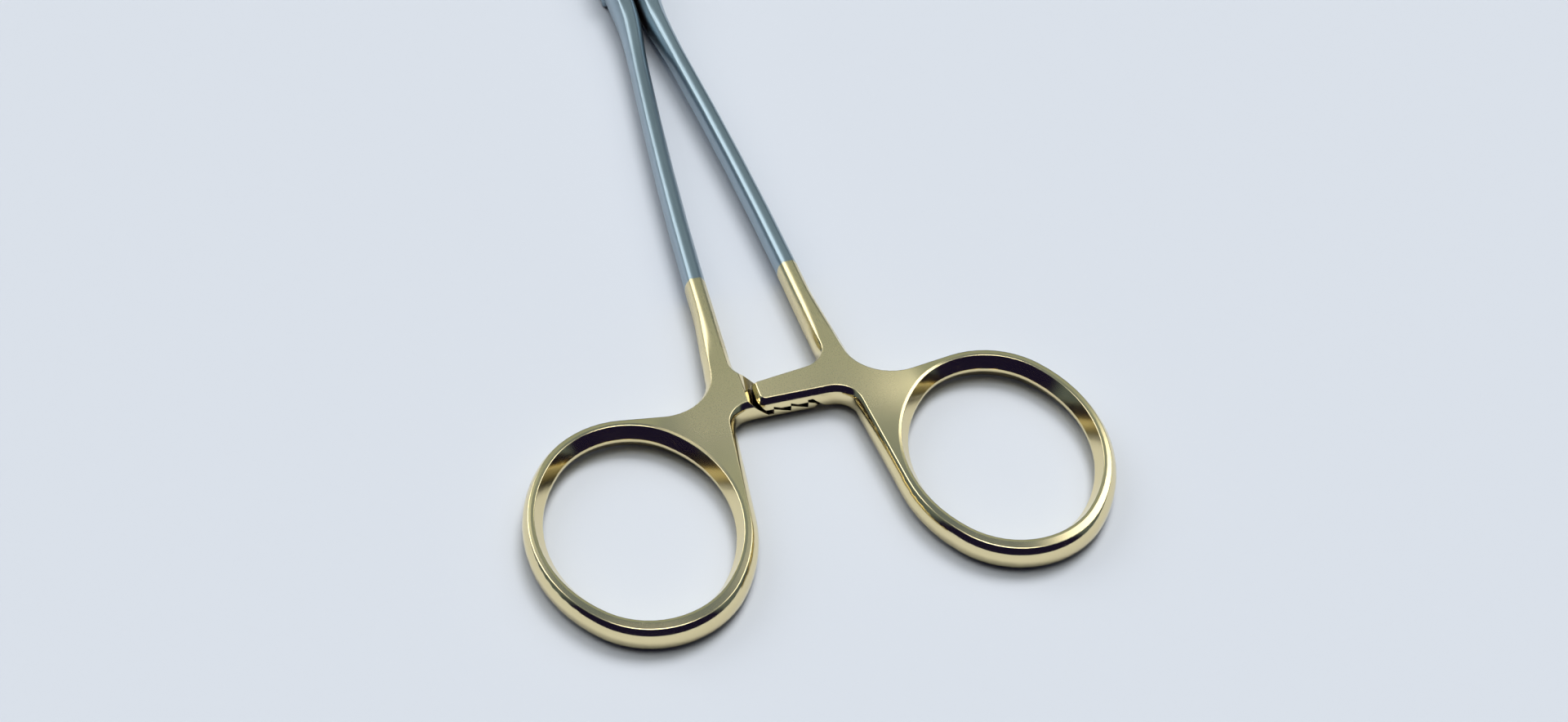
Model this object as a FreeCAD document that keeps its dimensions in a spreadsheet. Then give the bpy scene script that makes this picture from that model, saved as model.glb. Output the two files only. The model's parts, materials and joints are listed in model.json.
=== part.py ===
import FreeCAD, Part
import math
import os
import Sketcher

from FreeCAD import Vector

# A ring-handled needle holder with a box lock, closed on the first ratchet step.
# Y runs along the instrument from the rings to the jaw tip, Z is up, millimetres.
# The female half has the right ring and the left jaw, the male half the other two.
# Both handles are one shape, turned half a turn about the Y axis at mid-height,
# and the upper arm's teeth are ground back along its near edge.

doc = FreeCAD.newDocument("needle_holder")
sheet = doc.addObject("Spreadsheet::Sheet", "Sizes")

SIZES = {
    # overall
    "overall_length": 180.0,
    "overall_width": 81.8,
    "middle_height": 3.5,
    "cutting_past": 1.0,
    # finger rings: an oval drawn with two end arcs and two flank arcs
    "ring_outer_across": 30.8,
    "ring_outer_along": 38.0,
    "ring_end_radius": 13.2,
    "ring_lean": 3.8,
    "ring_band": 2.8,
    # wall profile of the handle, the same round its whole outline
    "handle_thickness": 4.2,
    "wall_edge_inset": 0.85,
    "wall_shoulder_inset": 0.3,
    "wall_shoulder_height": 1.35,
    "wall_belly_inset": 0.05,
    "wall_belly_height": 0.7,
    # finger holes: a soft roll off the face, a long bevel and a blunt crest
    "hole_near_rise": 0.6,
    "hole_roll": 0.4,
    "hole_roll_drop": 0.07,
    "hole_bevel": 1.05,
    "hole_crest_height": 0.25,
    "hole_crest_inset": 0.03,
    # web between ring, shank and ratchet arm
    "web_edge_slope": 8.5,
    "web_inner_lean": 5.2,
    "web_outer_radius": 6.5,
    "web_flare_distance": 55.0,
    "web_flare_lean": 5.0,
    "web_flare_radius": 60.0,
    "arm_root_radius": 3.0,
    # ratchet arm
    "arm_near_edge": 16.05,
    "arm_far_edge": 21.55,
    "arm_far_slope": 8.0,
    "arm_reach": 4.95,
    "arm_tip_near_radius": 1.7,
    "arm_tip_far_radius": 1.2,
    "arm_far_radius": 3.0,
    # ratchet teeth
    "tooth_pitch": 2.5,
    "tooth_crest": 0.3,
    "tooth_valley": 0.75,
    "tooth_play": 0.06,
    "ramp_start": 6.05,
    "ramp_gap": 0.4,
    "relief_depth": 0.8,
    "relief_level": 0.3,
    # shanks, from the web to the box
    "shank_width": 3.2,
    "shank_centre_at_web": 7.75,
    "shank_web_distance": 44.0,
    "shank_lean_at_web": 1.72,
    "shank_centre_at_meeting": 2.0,
    "shank_meeting_distance": 126.0,
    "shank_meeting_softness": 0.3,
    "shank_width_at_box": 4.4,
    "shank_thickness_at_box": 6.5,
    "shank_thickening": 22.0,
    "shank_inside_box": 4.0,
    "shank_plain_steps": 4,
    "shank_swell_steps": 7,
    "plating_end": 61.6,
    "plating_step": 0.02,
    # box lock
    "pin_from_tip": 36.4,
    "pin_radius": 1.5,
    "pin_seat_gap": 0.005,
    "pin_running_gap": 0.05,
    "pin_chamfer": 0.15,
    "box_width": 9.5,
    "box_thickness": 7.0,
    "box_radius": 9.6,
    "box_edge_inset": 0.55,
    "box_shoulder_inset": 0.16,
    "box_shoulder_drop": 0.45,
    "shoulder_gap": 0.1,
    "tongue_thickness": 2.9,
    "tongue_gap": 0.05,
    "tongue_half_width": 2.8,
    "tongue_end_gap": 0.1,
    "stop_gap": 0.3,
    "opening_angle": 40.0,
    "halves_gap": 0.1,
    # jaws
    "jaw_base_width": 9.2,
    "jaw_base_thickness": 6.4,
    "jaw_tip_width": 3.9,
    "jaw_tip_thickness": 3.2,
    "jaw_corner": 1.1,
    "jaw_inside_box": 3.0,
    "jaw_end_length": 1.6,
    "jaw_end_side_inset": 1.1,
    "jaw_end_face_inset": 0.88,
    "jaw_end_corner": 0.3,
    "jaw_end_steps": 4,
    "insert_thickness": 1.0,
    "insert_length": 21.5,
    "insert_gap": 0.06,
}

for row, (alias, value) in enumerate(SIZES.items(), start=1):
    sheet.set(f"A{row}", alias)
    sheet.set(f"B{row}", str(value))
    sheet.setAlias(f"B{row}", alias)
doc.recompute()


def size(alias):
    """The value in the sheet's cell of that name."""
    return float(sheet.get(alias))


MIDDLE = size("middle_height")
TIP = size("overall_length") / 2
PIN_LEVEL = TIP - size("pin_from_tip")
RING_LEVEL = size("ring_outer_along") / 2 - TIP
RING_ACROSS = (size("overall_width") - size("ring_outer_across")) / 2
PIN_LEVEL_CELLS = "Sizes.overall_length / 2 - Sizes.pin_from_tip"


# Plane geometry


def turned(vector, degrees):
    """A plan vector turned about Z, anticlockwise."""
    return FreeCAD.Rotation(Vector(0, 0, 1), degrees).multVec(vector)


def meet(line, other):
    """Where two plan lines, each a point and a direction, cross."""
    (point, along), (second, across) = line, other
    between = second - point
    share = (between.x * across.y - between.y * across.x) / (
        along.x * across.y - along.y * across.x
    )
    return point + along * share


def arc(start, middle, end):
    """An edge along the circle through three points."""
    return Part.Arc(start, middle, end).toShape()


def rounded_path(start, corners, end):
    """Straight edges from start to end, with an arc of its own radius at each corner."""
    edges = []
    here = start
    points = [corner for corner, _ in corners] + [end]
    for index, (corner, radius) in enumerate(corners):
        back = (here - corner).normalize()
        ahead = (points[index + 1] - corner).normalize()
        if radius > 0:
            half = back.getAngle(ahead) / 2
            leg = radius / math.tan(half)
            bisector = (back + ahead).normalize()
            nearest = corner + bisector * (radius / math.sin(half) - radius)
            edges.append(Part.makeLine(here, corner + back * leg))
            edges.append(arc(corner + back * leg, nearest, corner + ahead * leg))
            here = corner + ahead * leg
        else:
            edges.append(Part.makeLine(here, corner))
            here = corner
    edges.append(Part.makeLine(here, end))
    return edges


def placed(edges, side, height):
    """A closed wire of edges drawn for the right half, put on its own side at a height."""
    wire = Part.Wire(edges)
    if side < 0:
        wire = wire.mirror(Vector(0, 0, 0), Vector(1, 0, 0))
    wire.translate(Vector(0, 0, height))
    return wire


def section(name, wire):
    """A wire kept in the document, for a loft to pass through."""
    feature = doc.addObject("Part::Feature", name)
    feature.Shape = wire
    return feature


def loft(name, wires, ruled=False):
    """A solid through closed wires."""
    feature = doc.addObject("Part::Loft", name)
    feature.Sections = [
        section(f"{name}_section_{index}", wire) for index, wire in enumerate(wires)
    ]
    feature.Solid = True
    feature.Ruled = ruled
    return feature


def fused(name, *things):
    """One solid made of several."""
    feature = doc.addObject("Part::MultiFuse", name)
    feature.Shapes = list(things)
    feature.Refine = False
    return feature


def cut(name, base, tool):
    """A solid with another taken out of it."""
    feature = doc.addObject("Part::Cut", name)
    feature.Base = base
    feature.Tool = tool
    feature.Refine = False
    return feature


def common(name, base, tool):
    """What two solids share."""
    feature = doc.addObject("Part::Common", name)
    feature.Base = base
    feature.Tool = tool
    feature.Refine = False
    return feature


# Finger ring


def ring_oval(inset, near_rise=0.0):
    """Centres, radii and axes of the ring's oval, drawn inset from its outer edge.

    near_rise moves only the end that is farthest from the jaws."""
    half_across = size("ring_outer_across") / 2
    half_along = (size("ring_outer_along") - near_rise) / 2
    end_radius = size("ring_end_radius")
    flank_radius = (half_across**2 + half_along**2 - 2 * half_along * end_radius) / (
        2 * (half_across - end_radius)
    )
    lean = -size("ring_lean")
    across = turned(Vector(1, 0, 0), lean)
    along = turned(Vector(0, 1, 0), lean)
    centre = Vector(RING_ACROSS, RING_LEVEL, 0) + along * (near_rise / 2)
    return {
        "across": across,
        "along": along,
        "top": centre + along * (half_along - end_radius),
        "bottom": centre - along * (half_along - end_radius),
        "right": centre - across * (flank_radius - half_across),
        "left": centre + across * (flank_radius - half_across),
        "end_radius": end_radius - inset,
        "flank_radius": flank_radius - inset,
    }


def oval_joint(oval, end, flank):
    """Where an end arc meets a flank arc."""
    outward = (oval[end] - oval[flank]).normalize()
    return oval[end] + outward * oval["end_radius"]


def oval_edges(oval):
    """The whole oval as four arcs."""
    corners = [("top", "right"), ("bottom", "right"), ("bottom", "left"), ("top", "left")]
    joints = [oval_joint(oval, end, flank) for end, flank in corners]
    right = oval["right"] + oval["across"] * oval["flank_radius"]
    left = oval["left"] - oval["across"] * oval["flank_radius"]
    top = oval["top"] + oval["along"] * oval["end_radius"]
    bottom = oval["bottom"] - oval["along"] * oval["end_radius"]
    return [
        arc(joints[0], right, joints[1]),
        arc(joints[1], bottom, joints[2]),
        arc(joints[2], left, joints[3]),
        arc(joints[3], top, joints[0]),
    ]


# Handle plate: ring, web, ratchet arm and the plated end of the shank


def shank_swell(level):
    """How far the shank has grown towards its size at the box, from 0 to 1."""
    end = PIN_LEVEL - size("box_radius")
    share = 1 - (end - level) / size("shank_thickening")
    share = min(max(share, 0.0), 1.0)
    return share**2 * (3 - 2 * share)


def shank_width(level):
    """The shank's width at a level along Y."""
    plain = size("shank_width")
    return plain + (size("shank_width_at_box") - plain) * shank_swell(level)


def shank_centre(level):
    """Distance of the shank's middle line from the instrument's, at a level along Y.

    The line leans in a little at the web and more higher up, until the two shanks
    meet. From there they run side by side into the box."""
    start = size("shank_web_distance") - TIP
    lean = math.tan(math.radians(size("shank_lean_at_web")))
    run = size("shank_meeting_distance") - TIP - start
    drop = size("shank_centre_at_web") - size("shank_centre_at_meeting")
    bend = (drop - lean * run) / run**2
    gone = level - start
    free = size("shank_centre_at_web") - lean * gone - bend * gone**2
    touching = (shank_width(level) + size("halves_gap")) / 2
    softness = size("shank_meeting_softness")
    return (free + touching + math.hypot(free - touching, softness)) / 2


def handle_outline(inset, side, height):
    """The handle's outline, inset from its widest line, with the same arcs at each level."""
    oval = ring_oval(inset)
    end_level = size("plating_end") - TIP
    web_level = size("shank_web_distance") - TIP
    half_width = size("shank_width") / 2 - inset

    slope = size("web_edge_slope")
    web_normal = turned(Vector(0, 1, 0), slope)
    web_point = oval["top"] + web_normal * oval["end_radius"]
    web_line = (web_point, turned(Vector(1, 0, 0), slope))

    lean = size("web_inner_lean")
    inner_normal = turned(Vector(-1, 0, 0), lean)
    inner_point = oval["left"] + inner_normal * oval["flank_radius"]
    inner_line = (inner_point, turned(Vector(0, 1, 0), lean))

    near_level = size("arm_near_edge") + RING_LEVEL + inset
    near_line = (Vector(0, near_level, 0), Vector(-1, 0, 0))
    tip_line = (Vector(inset - size("arm_reach"), 0, 0), Vector(0, 1, 0))
    far_along = turned(Vector(1, 0, 0), size("arm_far_slope"))
    far_down = turned(far_along, -90)
    far_point = Vector(0, size("arm_far_edge") + RING_LEVEL, 0) + far_down * inset
    far_line = (far_point, far_along)

    web_centre = Vector(shank_centre(web_level), web_level, 0)
    end_centre = Vector(shank_centre(end_level), end_level, 0)
    shank_along = (end_centre - web_centre).normalize()
    outward = turned(shank_along, -90)
    inner_side = (web_centre - outward * half_width, shank_along)
    outer_side = (web_centre + outward * half_width, shank_along)
    flare_level = (Vector(0, size("web_flare_distance") - TIP, 0), Vector(1, 0, 0))
    flare_along = turned(shank_along, size("web_flare_lean"))
    flare_line = (meet(outer_side, flare_level), flare_along)
    end_line = (end_centre, Vector(1, 0, 0))

    corners = [
        (meet(inner_line, near_line), size("arm_root_radius") + inset),
        (meet(near_line, tip_line), size("arm_tip_near_radius") - inset),
        (meet(tip_line, far_line), size("arm_tip_far_radius") - inset),
        (meet(far_line, inner_side), size("arm_far_radius") + inset),
        (meet(inner_side, end_line), 0),
        (meet(end_line, outer_side), 0),
        (meet(outer_side, flare_line), size("web_flare_radius") + inset),
        (meet(flare_line, web_line), size("web_outer_radius") + inset),
    ]
    edges = rounded_path(inner_point, corners, web_point)

    right = oval["right"] + oval["across"] * oval["flank_radius"]
    bottom = oval["bottom"] - oval["along"] * oval["end_radius"]
    top_joint = oval_joint(oval, "top", "right")
    right_joint = oval_joint(oval, "bottom", "right")
    left_joint = oval_joint(oval, "bottom", "left")
    start = (web_point - oval["top"]).normalize()
    stop = (top_joint - oval["top"]).normalize()
    crown = oval["top"] + (start + stop).normalize() * oval["end_radius"]
    start = (left_joint - oval["left"]).normalize()
    stop = (inner_point - oval["left"]).normalize()
    cheek = oval["left"] + (start + stop).normalize() * oval["flank_radius"]
    edges += [
        arc(web_point, crown, top_joint),
        arc(top_joint, right, right_joint),
        arc(right_joint, bottom, left_joint),
        arc(left_joint, cheek, inner_point),
    ]
    return placed(edges, side, height)


def wall_levels():
    """Height from the middle and inset of each line of the handle's rounded wall."""
    half = size("handle_thickness") / 2
    upper = [
        (size("wall_belly_height"), size("wall_belly_inset")),
        (size("wall_shoulder_height"), size("wall_shoulder_inset")),
        (half, size("wall_edge_inset")),
    ]
    lower = [(-height, inset) for height, inset in reversed(upper)]
    return lower + [(0.0, 0.0)] + upper


def finger_hole(name, side):
    """The oval hole, widened by a soft roll and a long bevel towards each face.

    Its first section lies as far past the face as the roll drops below it."""
    half = size("handle_thickness") / 2
    band = size("ring_band")
    edge = band - size("hole_bevel")
    drop = size("hole_roll_drop")
    levels = [
        (half + drop, edge - 2 * size("hole_roll")),
        (half - drop, edge),
        (size("hole_crest_height"), band - size("hole_crest_inset")),
        (0.0, band),
    ]
    levels += [(-height, inset) for height, inset in reversed(levels[:-1])]
    rise = size("hole_near_rise")
    wires = [
        placed(oval_edges(ring_oval(inset, rise)), side, MIDDLE + height)
        for height, inset in levels
    ]
    return loft(name, wires, ruled=True)


def tooth_room(name, side):
    """What is cleared beside the arm: the ramp at its root, the teeth and the bare tip.

    It is drawn for the arm that lies low and reaches to +X. The other arm's is the
    same, turned half a turn."""
    half = size("handle_thickness") / 2
    pitch = size("tooth_pitch")
    crest = size("tooth_crest")
    valley = -size("tooth_valley")
    play = size("tooth_play") / 2
    ramp_start = size("ramp_start")
    reach = size("arm_reach")
    past = size("cutting_past")
    fall = (crest - valley) / pitch
    profile = [
        (-ramp_start - past, half + past),
        (-ramp_start + half - valley, valley),
    ]
    for step in (-1, 0, 1):
        face = step * pitch + play
        profile += [(face, valley), (face, crest)]
    last_face = pitch + play
    gap = size("ramp_gap") * math.sqrt(2)
    ramp_end = ramp_start - half - gap
    turn = (ramp_end - crest - fall * last_face) / (1 - fall)
    tip = reach + past
    profile += [
        (turn, ramp_end - turn),
        (tip, ramp_end - tip),
        (tip, half + past),
    ]
    turn_about = -side
    start = size("arm_near_edge") + RING_LEVEL - past
    points = [
        Vector(turn_about * x, start, MIDDLE + turn_about * height)
        for x, height in profile
    ]
    outline = section(f"{name}_profile", Part.makePolygon(points + points[:1]))
    room = doc.addObject("Part::Extrusion", name)
    room.Base = outline
    room.DirMode = "Custom"
    room.Dir = Vector(0, 1, 0)
    room.setExpression(
        "LengthFwd",
        "Sizes.shank_web_distance + Sizes.cutting_past"
        " - Sizes.arm_near_edge - Sizes.ring_outer_along / 2",
    )
    room.Solid = True
    return room


def tooth_relief(name):
    """The strip ground off the upper arm's teeth along its near edge."""
    past = size("cutting_past")
    half = size("handle_thickness") / 2
    near = size("arm_near_edge") + RING_LEVEL
    root = size("ramp_start") - half - size("tooth_valley")
    return block(
        name,
        (-size("arm_reach") - past, near - past, MIDDLE - half - past),
        (root, near + size("relief_depth"), MIDDLE + size("relief_level")),
    )


def handle(name, side):
    """Ring, web, toothed arm and plated shank end of one half."""
    wires = [
        handle_outline(inset, side, MIDDLE + height) for height, inset in wall_levels()
    ]
    plate = loft(f"{name}_plate", wires)
    holed = cut(f"{name}_ring", plate, finger_hole(f"{name}_hole", side))
    toothed = cut(f"{name}_toothed", holed, tooth_room(f"{name}_teeth", side))
    if side < 0:
        return toothed
    return cut(name, toothed, tooth_relief(f"{name}_relief"))


# Shank


def shank_section(level, side, centre, width, thickness):
    """A cross-section with flat faces and the handle's rounded sides, scaled to size."""
    wide = width / size("shank_width")
    tall = thickness / size("handle_thickness")
    half = size("shank_width") / 2
    rim = [
        Vector((half - inset) * wide, 0, height * tall) for height, inset in wall_levels()
    ]
    other = [Vector(-point.x, 0, point.z) for point in reversed(rim)]
    right_side = Part.BSplineCurve()
    right_side.interpolate(rim)
    left_side = Part.BSplineCurve()
    left_side.interpolate(other)
    edges = [
        Part.makeLine(other[-1], rim[0]),
        right_side.toShape(),
        Part.makeLine(rim[-1], other[0]),
        left_side.toShape(),
    ]
    wire = Part.Wire(edges)
    wire.translate(Vector(side * centre, level, MIDDLE))
    return wire


def shank(name, side):
    """The bare steel shank, from the end of the plating into the box."""
    start = size("plating_end") - TIP
    end = PIN_LEVEL - size("box_radius")
    growing = size("shank_thickening")
    plain = end - growing - start
    plain_steps = int(size("shank_plain_steps"))
    swell_steps = int(size("shank_swell_steps"))
    levels = [start + plain * k / plain_steps for k in range(plain_steps)]
    levels += [end - growing + growing * k / swell_steps for k in range(swell_steps + 1)]
    levels.append(end + size("shank_inside_box"))
    step = 2 * size("plating_step")
    thickness = size("handle_thickness") - step
    growth = size("shank_thickness_at_box") - thickness
    wires = []
    for level in levels:
        across = shank_width(level) - step
        deep = thickness + growth * shank_swell(level)
        centre = shank_centre(level)
        wires.append(shank_section(level, side, centre, across, deep))
    return loft(name, wires, ruled=True)


# Jaws


def jaw_section(level, width, thickness, corner):
    """A rounded rectangle across the closed jaws."""
    half_wide = width / 2
    half_tall = thickness / 2
    lift = corner * (1 - math.sqrt(0.5))
    edges = []
    corners = [(1, 1), (-1, 1), (-1, -1), (1, -1)]
    ends = []
    for x, z in corners:
        flat = Vector(x * (half_wide - corner), level, z * half_tall)
        steep = Vector(x * half_wide, level, z * (half_tall - corner))
        middle = Vector(x * (half_wide - lift), level, z * (half_tall - lift))
        ends.append((steep, middle, flat) if x * z > 0 else (flat, middle, steep))
    for index, (start, middle, end) in enumerate(ends):
        edges.append(arc(start, middle, end))
        edges.append(Part.makeLine(end, ends[(index + 1) % len(ends)][0]))
    wire = Part.Wire(edges)
    wire.translate(Vector(0, 0, MIDDLE))
    return wire


def jaw_pair():
    """Both jaws closed, as one tapered bar with a rounded tip."""
    base = PIN_LEVEL + size("box_radius")
    end_length = size("jaw_end_length")
    shoulder = TIP - end_length
    wide = size("jaw_base_width")
    tall = size("jaw_base_thickness")
    tip_wide = size("jaw_tip_width")
    tip_tall = size("jaw_tip_thickness")
    corner = size("jaw_corner")
    taper = [
        (base - size("jaw_inside_box"), wide, tall),
        (base, wide, tall),
        (shoulder, tip_wide, tip_tall),
    ]
    sections = [jaw_section(*station, corner) for station in taper]
    bar = loft("jaw_bar", sections, ruled=True)
    rounding = []
    steps = int(size("jaw_end_steps"))
    for step in range(steps + 1):
        angle = math.pi / 2 * step / steps
        share = math.sin(angle)
        inset = 2 * (1 - math.cos(angle))
        rounding.append(
            jaw_section(
                shoulder + share * end_length,
                tip_wide - inset * size("jaw_end_side_inset"),
                tip_tall - inset * size("jaw_end_face_inset"),
                corner + (size("jaw_end_corner") - corner) * share,
            )
        )
    end = loft("jaw_end", rounding, ruled=True)
    return fused("jaw_pair", bar, end)


# Building blocks


def block(name, low, high, height=""):
    """A box between two corners. height may bind its height to the sheet."""
    feature = doc.addObject("Part::Box", name)
    feature.Length = high[0] - low[0]
    feature.Width = high[1] - low[1]
    feature.Height = high[2] - low[2]
    if height:
        feature.setExpression("Height", height)
    feature.Placement.Base = Vector(*low)
    return feature


def disc(name, radius, low, high):
    """A round plate about the pin's axis, its radius and level bound to the sheet."""
    feature = doc.addObject("Part::Cylinder", name)
    feature.setExpression("Radius", radius)
    feature.Height = high - low
    feature.Placement.Base = Vector(0, PIN_LEVEL, low)
    feature.setExpression("Placement.Base.y", PIN_LEVEL_CELLS)
    return feature


FAR = size("overall_length")


def half_space(name, side, gap):
    """All the room on one side of the middle plane, less half a gap."""
    low = gap / 2 if side > 0 else -FAR
    high = FAR if side > 0 else -gap / 2
    return block(name, (low, -FAR, -FAR), (high, FAR, FAR))


# Box lock


def box_outline(inset, height):
    """The box in plan: two straight sides and two ends round the pin."""
    half = size("box_width") / 2 - inset
    radius = size("box_radius") - inset
    rise = math.sqrt(radius**2 - half**2)
    far_right = Vector(half, rise, 0)
    far_left = Vector(-half, rise, 0)
    near_left = Vector(-half, -rise, 0)
    near_right = Vector(half, -rise, 0)
    edges = [
        arc(far_right, Vector(0, radius, 0), far_left),
        Part.makeLine(far_left, near_left),
        arc(near_left, Vector(0, -radius, 0), near_right),
        Part.makeLine(near_right, far_right),
    ]
    wire = Part.Wire(edges)
    wire.translate(Vector(0, PIN_LEVEL, height))
    return wire


def box_block():
    """The box before it is slotted, with softened edges."""
    half = size("box_thickness") / 2
    shoulder = half - size("box_shoulder_drop")
    levels = [
        (-half, size("box_edge_inset")),
        (-shoulder, size("box_shoulder_inset")),
        (-shoulder / 2, 0.0),
        (shoulder / 2, 0.0),
        (shoulder, size("box_shoulder_inset")),
        (half, size("box_edge_inset")),
    ]
    wires = [box_outline(inset, MIDDLE + height) for height, inset in levels]
    return loft("box_block", wires, ruled=True)


def slot_walls(name, radius, half_width, start, low, high):
    """The two side walls that stay beside the slot, one each side of the pin."""
    walls = []
    for side in (1, -1):
        near = PIN_LEVEL - side * start
        far = PIN_LEVEL - side * radius
        low_corner = (min(side * half_width, side * radius), min(near, far), low)
        high_corner = (max(side * half_width, side * radius), max(near, far), high)
        walls.append(block(f"{name}_{side + 2}", low_corner, high_corner))
    return walls


def build_halves():
    """Both forged halves, as document objects."""
    half_tongue = size("tongue_thickness") / 2
    half_slot = half_tongue + size("tongue_gap")
    half_width = size("tongue_half_width")
    side_gap = size("tongue_end_gap")
    radius = size("box_radius")
    room = radius + size("shoulder_gap")
    opening = math.radians(size("opening_angle"))
    wall_start = half_width * math.tan(opening / 2) + size("stop_gap")
    box_half = size("box_width") / 2
    flank_start = (box_half * math.sin(opening) - wall_start) / math.cos(opening)
    flank_start += size("stop_gap")
    gap = size("halves_gap")
    jaws = jaw_pair()
    depth = size("box_thickness")

    # female half: box, right shank and handle, left jaw
    slot = block(
        "slot_space",
        (-2 * radius, PIN_LEVEL - room, MIDDLE - half_slot),
        (2 * radius, PIN_LEVEL + room, MIDDLE + half_slot),
        "Sizes.tongue_thickness + 2 * Sizes.tongue_gap",
    )
    walls = slot_walls(
        "slot_wall",
        2 * radius,
        half_width + side_gap,
        wall_start,
        MIDDLE - depth,
        MIDDLE + depth,
    )
    slot = cut("slot_open", slot, fused("slot_walls", *walls))
    slot = common(
        "slot", slot, disc("slot_disc", "Sizes.box_radius", -depth, 2 * depth)
    )
    right = half_space("right_side", 1, gap)
    left = half_space("left_side", -1, gap)
    female_shank = common("female_shank", shank("right_shank", 1), right)
    female_jaw = common("female_jaw", jaws, left)
    female = fused(
        "female_blank", handle("right_handle", 1), female_shank, female_jaw, box_block()
    )
    female = cut("female_slotted", female, slot)
    bore = disc("pin_seat", "Sizes.pin_radius + Sizes.pin_seat_gap", -depth, 2 * depth)
    female = cut("female_bored", female, bore)

    # male half: left shank and handle, tongue, right jaw
    tongue = disc(
        "tongue_disc",
        "Sizes.box_radius - Sizes.tongue_end_gap",
        MIDDLE - half_tongue,
        MIDDLE + half_tongue,
    )
    bottom = MIDDLE - half_tongue
    top = MIDDLE + half_tongue
    strip = block(
        "tongue_strip",
        (-half_width, PIN_LEVEL - radius, bottom),
        (half_width, PIN_LEVEL + radius, top),
        "Sizes.tongue_thickness",
    )
    near_flank = block(
        "tongue_near_flank",
        (-box_half, PIN_LEVEL - radius, bottom),
        (0, PIN_LEVEL - flank_start, top),
        "Sizes.tongue_thickness",
    )
    far_flank = block(
        "tongue_far_flank",
        (0, PIN_LEVEL + flank_start, bottom),
        (box_half, PIN_LEVEL + radius, top),
        "Sizes.tongue_thickness",
    )
    plan = fused("tongue_plan", strip, near_flank, far_flank)
    tongue = common("tongue", tongue, plan)
    cheeks = fused(
        "cheek_room",
        disc("upper_cheek_room", "Sizes.box_radius + Sizes.shoulder_gap", top, 3 * depth),
        disc("lower_cheek_room", "Sizes.box_radius + Sizes.shoulder_gap", -depth, bottom),
    )
    male_shank = common("male_shank", shank("left_shank", -1), left)
    male_jaw = common("male_jaw", jaws, right)
    shoulders = cut("male_shoulders", fused("male_bars", male_shank, male_jaw), cheeks)
    male = fused("male_blank", handle("left_handle", -1), shoulders, tongue)
    bore = disc("pin_bore", "Sizes.pin_radius + Sizes.pin_running_gap", -depth, 2 * depth)
    male = cut("male_bored", male, bore)
    return female, male, jaws


def jaw_insert(name, side, jaws):
    """A gripping pad that lies flush with its jaw, and the seat that it leaves."""
    gap = size("insert_gap") / 2
    thick = size("insert_thickness")
    start = TIP - size("insert_length")
    inner, outer = sorted((side * gap, side * thick))
    pad = block(f"{name}_pad", (inner, start, -FAR), (outer, FAR, FAR))
    inner, outer = sorted((-side * thick, side * thick))
    seat = block(f"{name}_seat", (inner, start, -FAR), (outer, FAR, FAR))
    return common(name, jaws, pad), seat


female, male, jaws = build_halves()
female_insert, female_seat = jaw_insert("female_jaw_insert", -1, jaws)
male_insert, male_seat = jaw_insert("male_jaw_insert", 1, jaws)
female_half = cut("female_half", female, female_seat)
male_half = cut("male_half", male, male_seat)


# Pin


def pin_body():
    """The pin, turned with a small chamfer at each end and filed flush."""
    body = doc.addObject("PartDesign::Body", "box_lock_pin")
    sketch = body.newObject("Sketcher::SketchObject", "pin_profile")
    planes = {plane.Role: plane for plane in body.Origin.OriginFeatures}
    sketch.AttachmentSupport = (planes["XZ_Plane"], [""])
    sketch.MapMode = "FlatFace"
    radius = size("pin_radius")
    length = size("box_thickness")
    chamfer = size("pin_chamfer")
    corners = [
        Vector(0, 0, 0),
        Vector(radius - chamfer, 0, 0),
        Vector(radius, chamfer, 0),
        Vector(radius, length - chamfer, 0),
        Vector(radius - chamfer, length, 0),
        Vector(0, length, 0),
    ]
    count = len(corners)
    for index, start in enumerate(corners):
        sketch.addGeometry(Part.LineSegment(start, corners[(index + 1) % count]))
    for index in range(count):
        ends = ("Coincident", index, 2, (index + 1) % count, 1)
        sketch.addConstraint(Sketcher.Constraint(*ends))
    bottom, low_chamfer, side, high_chamfer, top, axis = range(count)
    sketch.addConstraint(Sketcher.Constraint("Coincident", bottom, 1, -1, 1))
    for line in (bottom, top):
        sketch.addConstraint(Sketcher.Constraint("Horizontal", line))
    for line in (side, axis):
        sketch.addConstraint(Sketcher.Constraint("Vertical", line))
    bound = [
        ("DistanceX", bottom, radius - chamfer, "Sizes.pin_radius - Sizes.pin_chamfer"),
        ("DistanceX", low_chamfer, chamfer, "Sizes.pin_chamfer"),
        ("DistanceY", low_chamfer, chamfer, "Sizes.pin_chamfer"),
        ("DistanceY", side, length - 2 * chamfer, "Sizes.box_thickness - 2 * Sizes.pin_chamfer"),
        ("DistanceX", high_chamfer, -chamfer, "-Sizes.pin_chamfer"),
        ("DistanceY", high_chamfer, chamfer, "Sizes.pin_chamfer"),
    ]
    for kind, line, value, cells in bound:
        which = sketch.addConstraint(Sketcher.Constraint(kind, line, 1, line, 2, value))
        sketch.setExpression(f"Constraints[{which}]", cells)
    turn = body.newObject("PartDesign::Revolution", "pin_turned")
    turn.Profile = sketch
    turn.ReferenceAxis = (sketch, ["V_Axis"])
    turn.Angle = 360
    body.Placement.Base = Vector(0, PIN_LEVEL, MIDDLE - length / 2)
    body.setExpression("Placement.Base.y", PIN_LEVEL_CELLS)
    return body


pin = pin_body()
doc.recompute()

NODES = {
    "female_half": female_half,
    "male_half": male_half,
    "box_lock_pin": pin,
    "female_jaw_insert": female_insert,
    "male_jaw_insert": male_insert,
}

for thing in doc.Objects:
    if "Invalid" in thing.State or "Error" in thing.State:
        raise RuntimeError(f"{thing.Name} failed: {thing.State}")

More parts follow.
